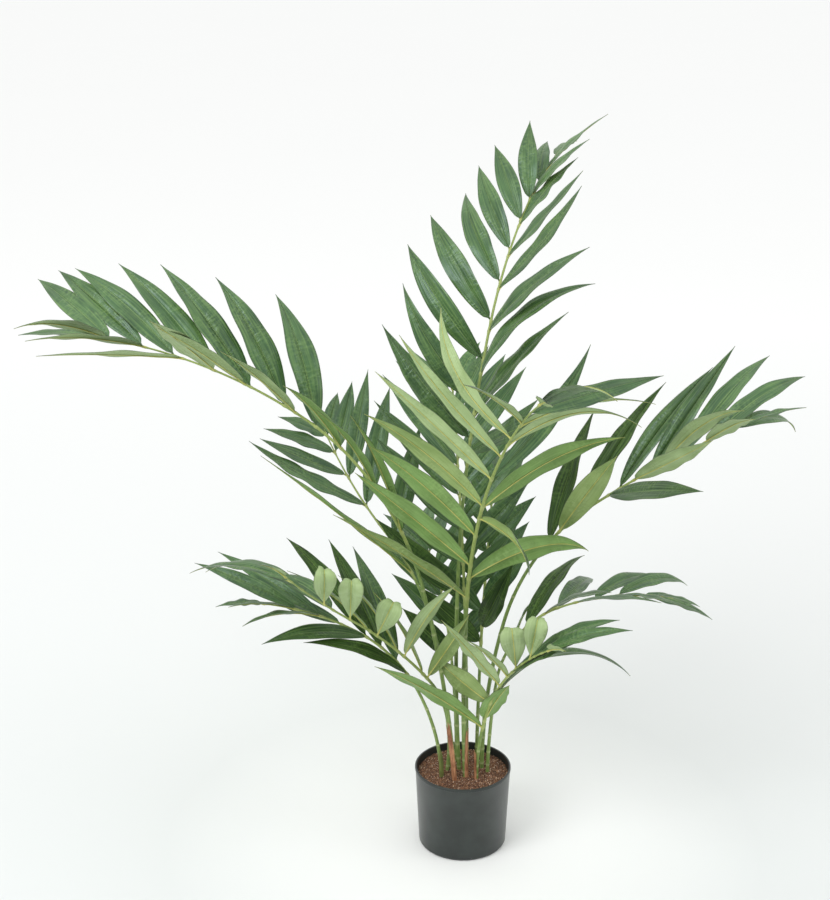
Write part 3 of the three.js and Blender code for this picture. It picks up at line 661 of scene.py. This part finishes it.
def grow_leaflet(root, side, shape, chance):
    """One leaflet: a folded, arched blade with a moulded midrib under it that forms its stalk."""
    place, forward, normal, left = root
    spread, lift, twist = [math.radians(shape[key]) for key in ("spread", "lift", "twist")]
    outward = forward * math.cos(spread) + left * side * math.sin(spread)
    away = outward * math.cos(lift) + normal * math.sin(lift)
    face = normal * math.cos(lift) - outward * math.sin(lift)
    across = np.cross(away, face)
    face = face * math.cos(side * twist) + across * math.sin(side * twist)
    across = np.cross(away, face)

    w = np.linspace(0, 1, LEAF_ROWS + 1)
    tucked = np.clip((w - TUCK_START) / TUCK_SHARE, 0, 1)
    bend = math.radians(shape["curl"]) * w ** LEAF_BEND_POWER
    bend = bend + math.radians(shape.get("tuck", 0)) * smooth(tucked)
    sweep = math.radians(chance.uniform(-SWEEP, SWEEP)) * w ** 1.5
    turn = math.radians(shape.get("turn", chance.uniform(-TURN, TURN))) * w ** 1.2
    ahead = np.outer(np.cos(bend), away) - np.outer(np.sin(bend), face)
    upper = np.outer(np.cos(bend), face) + np.outer(np.sin(bend), away)
    ahead = ahead * np.cos(sweep)[:, None] + across * np.sin(sweep)[:, None]
    wide = np.cross(ahead, upper)
    upper, wide = (upper * np.cos(turn)[:, None] + wide * np.sin(turn)[:, None],
                   wide * np.cos(turn)[:, None] - upper * np.sin(turn)[:, None])
    stride = unit(ahead[:-1] + ahead[1:]) * shape["length"] / LEAF_ROWS
    spine = place + normal * LEAF_ROOT_RISE + np.vstack([np.zeros(3), np.cumsum(stride, axis=0)])

    half = leaf_half_width(shape, w, chance)
    v = np.linspace(-1, 1, 2 * LEAF_COLUMNS + 1)
    fold = math.radians(shape.get("fold", chance.uniform(*FOLD)))
    fold = fold + math.radians(ROOT_FOLD) * np.exp(-w / ROOT_FOLD_REACH)
    ripple = math.radians(chance.uniform(*RIPPLE)) * np.sin(
        2 * math.pi * (w[:, None] * chance.uniform(*RIPPLE_WAVES) + chance.random() + 0.5 * (v > 0)))
    slope = fold[:, None] * (STEEP_MIDDLE - EDGE_FLATTENING * np.abs(v))
    slope = slope + ripple * np.abs(v) * np.sin(math.pi * w)[:, None]
    reach = half[:, None] * v * np.cos(slope)
    rise = half[:, None] * np.abs(v) * np.sin(slope)
    pucker = np.sin(w[:, None] * shape["length"] / PUCKER_RUN + 4 * np.sin(3 * v)) * (1 - np.abs(v))
    rise = rise + PUCKER_HEIGHT * pucker * np.minimum(1, half[:, None] / PUCKERED_HALF)
    middle = (spine[:, None, :] + wide[:, None, :] * reach[..., None]
              + upper[:, None, :] * rise[..., None])
    thick = (upper * (LEAF_CLOTH / 2))[:, None, :]
    points = np.vstack([(middle + thick).reshape(-1, 3), (middle - thick).reshape(-1, 3)])
    run = chance.randrange(40) * 0.5 + w * shape["length"] * MM
    places = np.stack([np.broadcast_to(0.5 + v / 2, middle.shape[:2]),
                       np.broadcast_to(run[:, None], middle.shape[:2])], axis=-1).reshape(-1, 2)
    faces, slots = sheet_faces(len(w), len(v), shape["upper"], shape["under"])
    blade = (points, faces, slots, np.vstack([places, places]))

    runs = [*MIDRIB_RUNS, *(share * shape["length"] for share in MIDRIB_SHARES)]
    thin = np.interp(w * shape["length"], runs, MIDRIB_RADII)
    turns = np.arange(MIDRIB_SIDES) / MIDRIB_SIDES * 2 * math.pi
    heart = spine - upper * (thin * MIDRIB_DEPTH + LEAF_CLOTH / 2)[:, None]
    rings = (heart[:, None, :] + wide[:, None, :] * (np.cos(turns) * thin[:, None])[..., None]
             - upper[:, None, :] * (np.sin(turns) * thin[:, None] * MIDRIB_FLATNESS)[..., None])
    faces = wall_faces(len(w), MIDRIB_SIDES)
    faces.append(tuple(reversed(range(MIDRIB_SIDES))))
    faces.append(tuple(range(LEAF_ROWS * MIDRIB_SIDES, len(w) * MIDRIB_SIDES)))
    return blade, (rings.reshape(-1, 3), faces, [MIDRIB_SLOT] * len(faces), None)


def leaf_shapes(frond):
    """Each leaflet of a frond: its key, side, share of the curve and shape."""
    found = []
    for label, side in (("left", 1), ("right", -1)):
        profile = frond[label]
        for i in range(profile["count"]):
            u = i / (profile["count"] - 1)
            shape = {part: along(profile[part], u) for part in ("length", "spread", "lift", "curl")}
            shape["twist"] = along(profile.get("twist", UNTWISTED), u)
            shape["width"] = frond["width"] * (1 - LEAF_NARROWING * u)
            shape.update(frond.get("bent", {}).get(f"{label}{i}", {}))
            found.append((f"{label}{i}", side, along(profile["place"], u), shape))
    end = dict(spread=0, lift=0, curl=END_LEAF_CURL, twist=0, length=frond["tip"],
               width=frond["width"] * END_LEAF_WIDTH_SHARE)
    found.append(("end", 1, END_LEAF_PLACE, end))
    return found


# The steps outward along a frond at which each face changes to the next paler cloth, and how much
# further out than they are the leaflets of some fronds count
UPPER_STEPS = (0, 0.35, 1)
UNDER_STEPS = (0.2, 0.36)
UPPER_TONES = {"top": 0.2, "right": -0.35, "left_low": -0.2, "left_back": -0.1, "right_low": -0.1}
UNDER_TONES = {"left_low_front": 0.3, "right_low_front": 0.12}

# Leaflets that crowding has tucked back over themselves, turned or folded nearly shut
TUCKED_BACK = dict(width=42, curl=8, tuck=-172, fold=-40, widest=0.5, pinch=0.4, foot_power=1.25)
CRUMPLED = {
    "left_low_front": {
        "left0": dict(fold=50, width=32), "left1": dict(fold=46, width=31),
        "left2": dict(TUCKED_BACK, spread=53, lift=32, twist=3, fold=-28, turn=-18),
        "left3": dict(TUCKED_BACK, spread=35, lift=31, twist=24, widest=0.54),
        "left4": dict(TUCKED_BACK, spread=33, lift=20, twist=27, width=38, turn=32),
    },
    "right_low_front": {
        "right4": dict(TUCKED_BACK, spread=30, lift=14, twist=-4, fold=-16, turn=14),
        "right5": dict(TUCKED_BACK, spread=23, lift=20, twist=3, width=38),
    },
    "left_long": {f"left{i}": dict(fold=40, width=30) for i in range(5)},
    "front": {"right6": dict(turn=68)},
    "right": {"left1": dict(fold=36), "left2": dict(fold=42), "left3": dict(fold=40)},
}


def frond_leaflets(name, frond, curve):
    """All leaflets of a frond as one piece, of deeper cloths near its foot and paler ones outward:
    painted shade near the foot and painted light outward.
    """
    shapes = []
    first = rib_start(frond)
    for key, side, s, shape in leaf_shapes(frond):
        chance = random.Random(f"{name} {key}")
        shape.update(CRUMPLED.get(name, {}).get(key, {}))
        # Painted shade and light: the leaflet's place outward along the frond, with some random tone,
        # picks how dark its cloths are
        outward = (s - first) / (1 - first) + chance.uniform(-0.2, 0.2)
        upper = outward + UPPER_TONES.get(name, 0)
        under = outward + UNDER_TONES.get(name, 0)
        shape["upper"] = sum(upper > step for step in UPPER_STEPS)
        shape["under"] = len(UPPER_CLOTHS) + sum(under > step for step in UNDER_STEPS)
        shapes += grow_leaflet(curve_point(frond, curve, s), side, shape, chance)
    return meshed(f"leaflets_{name}", shapes, [*UPPER_CLOTHS, *UNDER_CLOTHS, MIDRIB])


# Rods: stems and ribs swept along their curves

# Step along the rod, sides of its section and height of its grain; the swell, reach and paleness of its
# marks, which are scar rings on a stem and the knobs of leaflets on a rib; its sleeve
STEM_ROD = dict(step=2, sides=14, grain=0.35, swell=0.5, reach=1.6, scar=0.8, sleeve=STEM_SLEEVE)
RIB_ROD = dict(step=2.5, sides=10, grain=0.25, swell=0.75, reach=3.2, scar=0.5, sleeve=RIB_SLEEVE)
GRAIN_SIZE = 1.8
GRAIN_STRETCH = (1, 1, 0.1)

# Scar rings: the first above the soil, the gap to the next, how much that grows with height, and the
# bare stretch below the frond
FIRST_RING = (6, 14)
RING_GAP = (14, 26)
RING_GAP_GROWTH = 0.22
BARE_TOP = 20


def node_group(name, inputs, result):
    """An empty Geometry Nodes tree with named inputs, each of a kind of socket, and one result."""
    tree = bpy.data.node_groups.new(name, "GeometryNodeTree")
    for label, kind in inputs.items():
        tree.interface.new_socket(label, in_out="INPUT", socket_type=f"NodeSocket{kind}")
    tree.interface.new_socket(result, in_out="OUTPUT", socket_type="NodeSocketGeometry")
    return tree, put(tree, "NodeGroupInput").outputs


def hand_over(tree, geometry, material):
    """Ends a tree: makes instances real and sets their material."""
    real = put(tree, "GeometryNodeRealizeInstances", [geometry])
    done = put(tree, "GeometryNodeSetMaterial", {"Geometry": real, "Material": material})
    put(tree, "NodeGroupOutput", [done])
    return tree


def rod_tree():
    """Geometry Nodes that sweep a round section along a path and raise a grain on it."""
    tree, given = node_group("rod", {
        "Path": "Geometry", "Sides": "Int", "Grain height": "Float", "Grains a metre": "Float",
        "Sleeve": "Material",
    }, "Rod")
    swept = put(tree, "GeometryNodeCurveToMesh", {
        "Curve": put(tree, "GeometryNodeMeshToCurve", {"Mesh": given["Path"]}),
        "Profile Curve": put(tree, "GeometryNodeCurvePrimitiveCircle", {"Resolution": given["Sides"]}),
        "Scale": put(tree, "GeometryNodeInputNamedAttribute", {"Name": "girth"}, data_type="FLOAT"),
        "Fill Caps": True,
    })
    drawn = put(tree, "ShaderNodeVectorMath", [put(tree, "GeometryNodeInputPosition"), GRAIN_STRETCH],
                operation="MULTIPLY")
    grain = put(tree, "ShaderNodeTexNoise", {"Vector": drawn, "Scale": given["Grains a metre"]})
    centred = put(tree, "ShaderNodeMath", [grain, 0.5], operation="SUBTRACT")
    height = put(tree, "ShaderNodeMath", [centred, given["Grain height"]], operation="MULTIPLY")
    outward = put(tree, "ShaderNodeVectorMath", {
        0: put(tree, "GeometryNodeInputNormal"), "Scale": height,
    }, operation="SCALE")
    raised = put(tree, "GeometryNodeSetPosition", {"Geometry": swept, "Offset": outward})
    return hand_over(tree, put(tree, "GeometryNodeSetShadeSmooth", {"Geometry": raised}), given["Sleeve"])


def grown(name, seed, tree, inputs):
    """Runs a Geometry Nodes tree on a seed mesh and keeps the result as a plain mesh."""
    source = linked(f"{name}_seed", seed)
    modifier = source.modifiers.new("grow", "NODES")
    modifier.node_group = tree
    for item in tree.interface.items_tree:
        if item.in_out == "INPUT" and item.name in inputs:
            modifier[item.identifier] = inputs[item.name]
    bpy.context.view_layer.update()
    data = bpy.data.meshes.new_from_object(source.evaluated_get(bpy.context.evaluated_depsgraph_get()))
    data.name = name
    bpy.data.objects.remove(source)
    return linked(name, data)


def rod(name, tree, frond, curve, start, end, marks, make):
    """A rod on a stretch of a frond's curve, swollen and paler at marks along it."""
    runs = [*np.arange(start, end, make["step"]).tolist(), end]
    shares = [run / frond["length"] for run in runs]
    near = [min(1, sum(math.exp(-((run - mark) / make["reach"]) ** 2) for mark in marks)) for run in runs]
    points = np.array([curve_point(frond, curve, s)[0] for s in shares])
    girths = np.array([stem_radius(frond, s) for s in shares]) + make["swell"] * np.array(near)
    path = bpy.data.meshes.new(f"{name}_path")
    path.from_pydata((points * MM).tolist(), [(i, i + 1) for i in range(len(points) - 1)], [])
    for label, values in (("girth", girths * MM), ("scar", np.array(near) * make["scar"])):
        path.attributes.new(label, "FLOAT", "POINT").data.foreach_set("value", values.astype(np.float32))
    return grown(name, path, tree, {
        "Sides": make["sides"], "Grain height": make["grain"] * MM, "Sleeve": make["sleeve"],
        "Grains a metre": 1 / (GRAIN_SIZE * MM),
    })


def rib_start(frond):
    """Share of the curve where the rib starts, a little below its first leaflet."""
    return min(frond["left"]["place"][0], frond["right"]["place"][0]) - RIB_LEAD


def stem_rod(name, frond, curve, tree):
    """The bare stem, with a scar ring wherever a leaf was: close together at its foot and wide above."""
    chance = random.Random(f"stem {name}")
    end = rib_start(frond) * frond["length"] - CLEARANCE
    rings = []
    height = chance.uniform(*FIRST_RING)
    while height < end - BARE_TOP:
        rings.append(height)
        height += chance.uniform(*RING_GAP) + height * RING_GAP_GROWTH
    return rod(f"stalk_{name}", tree, frond, curve, -PLANTED_DEPTH, end, rings, STEM_ROD)


def rib_rod(name, frond, curve, tree):
    """The rib through the blade, swollen where each leaflet springs from it."""
    start = rib_start(frond) * frond["length"]
    knobs = [s * frond["length"] for _, _, s, _ in leaf_shapes(frond)]
    return rod(f"rib_{name}", tree, frond, curve, start, frond["length"], knobs, RIB_ROD)


# Husks

HUSK_ROWS = 30
HUSK_COLUMNS = 9
HUSK_FILM_THICKNESS = 0.6
HUSK_TEAR = (0.78, 1)
HUSK_CREASE = 0.35


def husk_strip(name, spec):
    """A dry strip round part of a stem's foot, creased along its fibres, torn and curling at its top."""
    frond = FRONDS[spec["stem"]]
    curve = frond_curve(frond)
    chance = random.Random(name)
    tears = [chance.uniform(*HUSK_TEAR) for _ in range(HUSK_COLUMNS + 1)]
    creases = [chance.uniform(-HUSK_CREASE, HUSK_CREASE) for _ in range(HUSK_COLUMNS + 1)]
    outer, inner, places = [], [], []
    for row in range(HUSK_ROWS + 1):
        for column in range(HUSK_COLUMNS + 1):
            share = row / HUSK_ROWS
            across = column / HUSK_COLUMNS
            point_share = share * (1 - (1 - tears[column]) * share ** 3)
            run = -HUSK_PLANTED_DEPTH + (spec["height"] + HUSK_PLANTED_DEPTH) * point_share
            s = run / frond["length"]
            centre = curve_point(frond, curve, s)[0]
            radius = stem_radius(frond, s) + HUSK_GAP + HUSK_FLARE * point_share ** 2
            radius += creases[column] * (0.4 + point_share)
            wrap = math.radians(HUSK_ARC) * (1 - HUSK_NARROWING * point_share ** 1.5)
            angle = math.radians(spec["side"]) + wrap * (across - 0.5)
            out = np.array([math.cos(angle), math.sin(angle), 0])
            outer.append(centre + out * (radius + HUSK_FILM_THICKNESS))
            inner.append(centre + out * radius)
            places.append((across, share))
    faces, slots = sheet_faces(HUSK_ROWS + 1, HUSK_COLUMNS + 1, 0, 0)
    film = (outer + inner, [tuple(reversed(face)) for face in faces], slots, places + places)
    return meshed(f"{name}_film", [film], [GREEN_FILM if spec.get("green") else DRY_FILM])


# Pot and fill

POT_TURNS = 144
SOIL_TURNS = 120


def circle(radius, height, turns):
    """Points of a level circle round the axis."""
    angles = [2 * math.pi * i / turns for i in range(turns)]
    return [(radius * math.cos(angle), radius * math.sin(angle), height) for angle in angles]


def turned(name, bottom, circles, top, material, angle):
    """A closed shape through circles of points, from a height on the axis to another one on it."""
    turns = len(circles[0])
    points = [(0, 0, bottom), *sum(circles, []), (0, 0, top)]
    faces = [(0, 1 + (i + 1) % turns, 1 + i) for i in range(turns)]
    faces += wall_faces(len(circles), turns, 1)
    last = 1 + (len(circles) - 1) * turns
    faces += [(last + i, last + (i + 1) % turns, last + turns) for i in range(turns)]
    return meshed(name, [(points, faces, [0] * len(faces), None)], [material], angle)


def arc(centre, radius, start, end, steps):
    """Points of a round stretch of a profile, between two angles from the radius axis."""
    angles = [math.radians(start + (end - start) * i / steps) for i in range(steps + 1)]
    return [(centre[0] + radius * math.cos(a), centre[1] + radius * math.sin(a)) for a in angles]


def inner_radius(z):
    """Inner radius of the pot's wall at height z."""
    outer = POT_BASE_RADIUS + (POT_RIM_RADIUS - LIP_OVERHANG - POT_BASE_RADIUS) * z / POT_HEIGHT
    return outer - POT_WALL


FOOT_RING = 60
FOOT_RECESS = 0.8
LIP_ROUNDING = 0.9
LIP_FOOT_ROUNDING = 0.5
LIP_GROOVE = 0.4


def moulded_pot_shell():
    """The pot: a recess under it inside its foot, a rounded lower edge, and a rolled lip."""
    foot = POT_BASE_RADIUS - POT_EDGE_RADIUS
    lip_foot = POT_HEIGHT - LIP_HEIGHT
    profile = [(FOOT_RING - 1, FOOT_RECESS), (FOOT_RING, 0)]
    profile += arc((foot, POT_EDGE_RADIUS), POT_EDGE_RADIUS, -90, 0, 10)
    profile += [(POT_RIM_RADIUS - LIP_OVERHANG, lip_foot - LIP_GROOVE)]
    profile += arc((POT_RIM_RADIUS - LIP_FOOT_ROUNDING, lip_foot + LIP_FOOT_ROUNDING),
                   LIP_FOOT_ROUNDING, -90, 0, 3)
    profile += arc((POT_RIM_RADIUS - LIP_ROUNDING, POT_HEIGHT - LIP_ROUNDING), LIP_ROUNDING, 0, 90, 6)
    inside = inner_radius(POT_HEIGHT)
    profile += arc((inside + LIP_ROUNDING, POT_HEIGHT - LIP_ROUNDING), LIP_ROUNDING, 90, 180, 6)
    profile += [(inner_radius(POT_FLOOR + 2), POT_FLOOR + 2), (inner_radius(POT_FLOOR) - 2, POT_FLOOR)]
    circles = [circle(radius, height, POT_TURNS) for radius, height in profile]
    return turned("moulded_pot", FOOT_RECESS, circles, POT_FLOOR, POT_PLASTIC, 35)


SOIL_RINGS = 40
SOIL_TOP = SOIL_LEVEL - 0.6
SOIL_EDGE = SOIL_LEVEL - SOIL_CROWN - 1.5

# The uneven top is a sum of waves, each with a rate, a heading and a phase
SOIL_WAVES = 9
SOIL_WAVE_SPANS = ((0.08, 0.4), (0, 6.3), (0, 6.3))
SOIL_WAVE_HEIGHT = 0.22


def soil_bed():
    """The fill: a mound of glued dust with an uneven top."""
    bottom = POT_FLOOR + CLEARANCE
    edge = inner_radius(SOIL_LEVEL - SOIL_CROWN) - CLEARANCE
    circles = [circle(inner_radius(bottom) - CLEARANCE, bottom, SOIL_TURNS),
               circle(edge, SOIL_EDGE, SOIL_TURNS)]
    chance = random.Random("soil")
    waves = [[chance.uniform(*span) for span in SOIL_WAVE_SPANS] for _ in range(SOIL_WAVES)]
    for ring in range(SOIL_RINGS - 1, 0, -1):
        share = ring / SOIL_RINGS
        circles.append([
            (x, y, z + SOIL_WAVE_HEIGHT * sum(
                math.sin(k * x * math.cos(t) + k * y * math.sin(t) + p) for k, t, p in waves))
            for x, y, z in circle(edge * share, SOIL_TOP - SOIL_CROWN * share ** 3, SOIL_TURNS)])
    return turned("soil_bed", bottom, circles, SOIL_TOP, SOIL_BED, 60)


GRANULE_RADIUS = 1.35
GRANULE_SPACING = 1.2
GRANULE_LOWEST = SOIL_LEVEL - SOIL_CROWN - 1.4
GRANULE_SMALLEST = (0.5, 0.4, 0.35)
GRANULE_LARGEST = (1.5, 1.1, 0.8)


def grain_tree():
    """Geometry Nodes that scatter angular granules over the top of a mound."""
    tree, given = node_group("granules", {
        "Mound": "Geometry", "Spacing": "Float", "Density": "Float", "Grain radius": "Float",
        "Lowest": "Float", "Seed": "Int", "Bark": "Material",
    }, "Granules")
    height = put(tree, "ShaderNodeSeparateXYZ", [put(tree, "GeometryNodeInputPosition")]).outputs["Z"]
    spots = put(tree, "GeometryNodeDistributePointsOnFaces", {
        "Mesh": given["Mound"], "Distance Min": given["Spacing"], "Density Max": given["Density"],
        "Selection": put(tree, "FunctionNodeCompare", {"A": height, "B": given["Lowest"]},
                         operation="GREATER_THAN"),
        "Seed": given["Seed"],
    }, distribute_method="POISSON")
    placed = put(tree, "GeometryNodeInstanceOnPoints", {
        "Points": spots,
        "Instance": put(tree, "GeometryNodeMeshIcoSphere", {"Radius": given["Grain radius"]}),
        "Rotation": put(tree, "FunctionNodeRandomValue", {"Max": (6.3, 6.3, 6.3), "Seed": given["Seed"]},
                        data_type="FLOAT_VECTOR"),
        "Scale": put(tree, "FunctionNodeRandomValue", {
            "Min": GRANULE_SMALLEST, "Max": GRANULE_LARGEST, "Seed": given["Seed"],
        }, data_type="FLOAT_VECTOR"),
    })
    return hand_over(tree, placed, given["Bark"])


# The piece-making

def keep(piece, slot, *nodes):
    """Rides a finished piece on the plant and hides the nodes that it stands for; the slot is not used.
    """
    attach(piece, "root")
    if nodes:
        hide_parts(*nodes)
    return piece


rods = rod_tree()
for name, frond in FRONDS.items():
    curve = frond_curve(frond)
    keep(stem_rod(name, frond, curve, rods), "stem", f"stem_{name}")
    keep(rib_rod(name, frond, curve, rods), "stem", f"frond_{name}")
    keep(frond_leaflets(name, frond, curve), "frond", f"frond_{name}")

for name, spec in HUSKS.items():
    keep(husk_strip(name, spec), "husk", name)

keep(moulded_pot_shell(), "pot", "pot")
mound = keep(soil_bed(), "soil", "soil")
grains = grain_tree()
for name, (bark, density, seed) in GRAINS.items():
    keep(grown(name, mound.data, grains, {
        "Spacing": GRANULE_SPACING * MM, "Density": density / MM ** 2, "Seed": seed, "Bark": bark,
        "Grain radius": GRANULE_RADIUS * MM, "Lowest": GRANULE_LOWEST * MM,
    }), "soil")


# Floor, light and camera

FLOOR_REACH = 40


def studio_floor():
    """Matte white paper that the plant stands on, with painted light that makes it brighter far away and
    round the pot.
    """
    data = bpy.data.meshes.new("studio_floor")
    corners = [(x * FLOOR_REACH, y * FLOOR_REACH, 0) for x, y in ((-1, -1), (1, -1), (1, 1), (-1, 1))]
    data.from_pydata(corners, [], [(0, 1, 2, 3)])

    def base(tree):
        place = put(tree, "ShaderNodeTexCoord").outputs["Object"]
        depth = put(tree, "ShaderNodeSeparateXYZ", [place]).outputs["Y"]
        reach = put(tree, "ShaderNodeVectorMath", [place], operation="LENGTH").outputs["Value"]
        # Painted light: the paper is darker at the front and brighter far behind
        paper = tinted(tree, 0xD8DCDB, 0xF9FAF9, depth, -0.6, 3)
        # Painted light round the pot, where it lightens the plant's shadow on the paper
        paper = tinted(tree, paper, 0xFCFDFC, reach, 0.5, 0.1, 0.85)
        return tinted(tree, paper, 0xE8EAEA, mottle(tree, 900), share=0.06)
    paper = finish("matte_white_paper_painted_light", base, lambda tree: mottle(tree, 2), 0.02, Roughness=0.95)
    data.materials.append(paper)
    linked("studio_floor", data)


def softbox(name, place, aim, size, power):
    """A square area light at a place, turned to a point."""
    light = bpy.data.lights.new(name, "AREA")
    light.size = size
    light.energy = power
    lamp = linked(name, light)
    lamp.location = place
    lamp.rotation_euler = (Vector(aim) - Vector(place)).to_track_quat("-Z", "Y").to_euler()


# Brightness of the room's walls, and how much brighter its ceiling is
WALL_GLOW = 0.62
CEILING_GLOW = 0.58


def studio():
    """Bright room light all round, a large softbox above the left and a weaker one at the right."""
    world = bpy.data.worlds.new("studio")
    world.use_nodes = True
    tree = world.node_tree
    tree.nodes.clear()
    direction = put(tree, "ShaderNodeTexCoord").outputs["Generated"]
    height = put(tree, "ShaderNodeSeparateXYZ", [direction]).outputs["Z"]
    upward = put(tree, "ShaderNodeMath", [height, 0], operation="MAXIMUM")
    glow = put(tree, "ShaderNodeMath", [upward, CEILING_GLOW, WALL_GLOW], operation="MULTIPLY_ADD")
    walls = put(tree, "ShaderNodeBackground", {"Color": (1, 1, 1, 1), "Strength": glow})
    put(tree, "ShaderNodeOutputWorld", {"Surface": walls})
    bpy.context.scene.world = world
    softbox("softbox_left", place=(-1.7, -1.6, 2.7), aim=(0, 0, 0.6), size=1.6, power=42)
    softbox("softbox_right", place=(2.6, -0.7, 1.8), aim=(0, 0, 0.5), size=1.2, power=9)
    bpy.context.scene.view_settings.view_transform = "Standard"


# The camera stands a little left of the plant's middle and looks down on it
CAMERA_PLACE = (-0.080, -2.637, 1.684)
CAMERA_PITCH = 20.42
CAMERA_LENS = 72


def camera():
    """A long lens on a full frame, with nothing out of focus."""
    data = bpy.data.cameras.new("camera")
    data.lens = CAMERA_LENS
    data.sensor_width = 36
    data.clip_end = 200
    eye = linked("camera", data)
    eye.location = CAMERA_PLACE
    eye.rotation_euler = (math.radians(90 - CAMERA_PITCH), 0, 0)
    bpy.context.scene.camera = eye


studio_floor()
studio()
camera()
